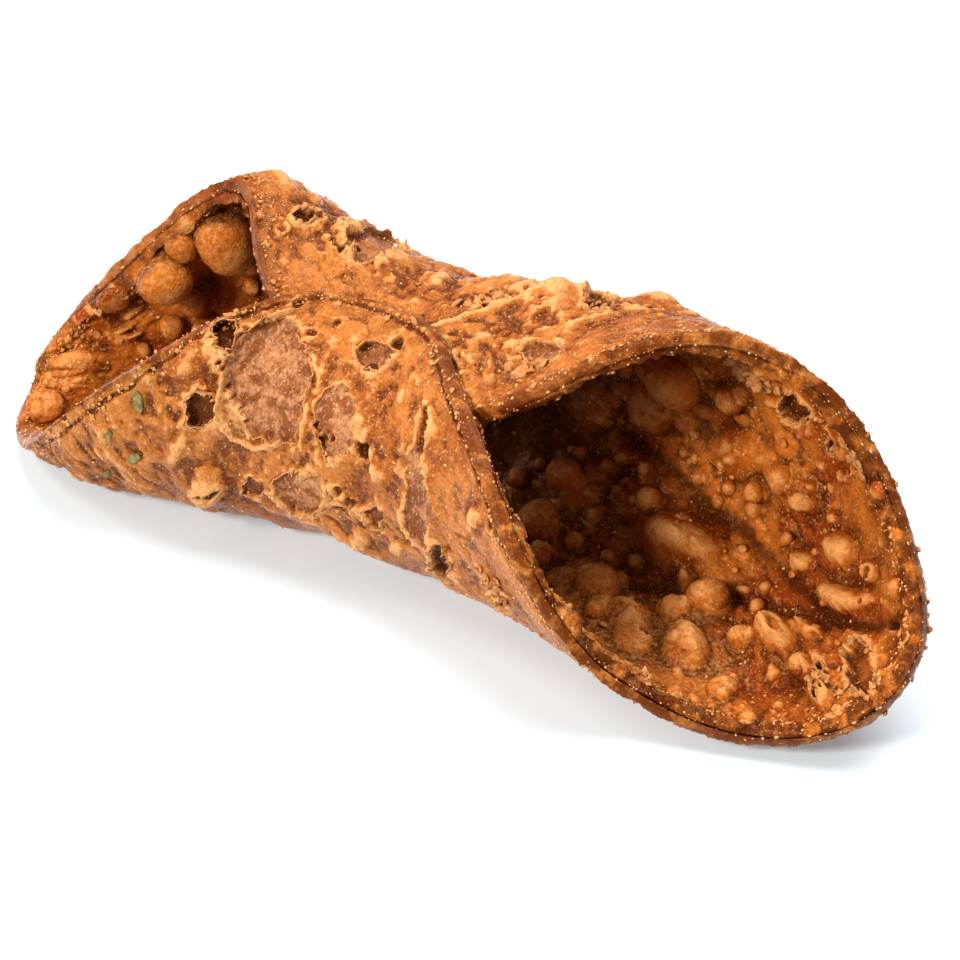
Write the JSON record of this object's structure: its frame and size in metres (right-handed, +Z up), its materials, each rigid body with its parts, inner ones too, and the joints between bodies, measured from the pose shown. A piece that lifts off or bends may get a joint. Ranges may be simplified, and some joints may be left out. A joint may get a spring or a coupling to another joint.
{
  "type": "cannoli shell",
  "caption": "Empty fried cannoli shell: one blistered sheet of dough wrapped into a flared open tube, one flap lapped over the other.",
  "frame": {"origin": "middle of the bounding box footprint, on the surface the shell rests on", "axes": "+X along the tube towards the wider mouth, +Z up, -Y the side whose flap lies on top"},
  "size_m": [0.1324, 0.0487, 0.0429],
  "materials": {
    "dough": "blistered deep golden brown fried dough with a slight sheen of oil"
  },
  "bodies": {
    "root": {"shell": "dough"}
  },
  "joints": []
}
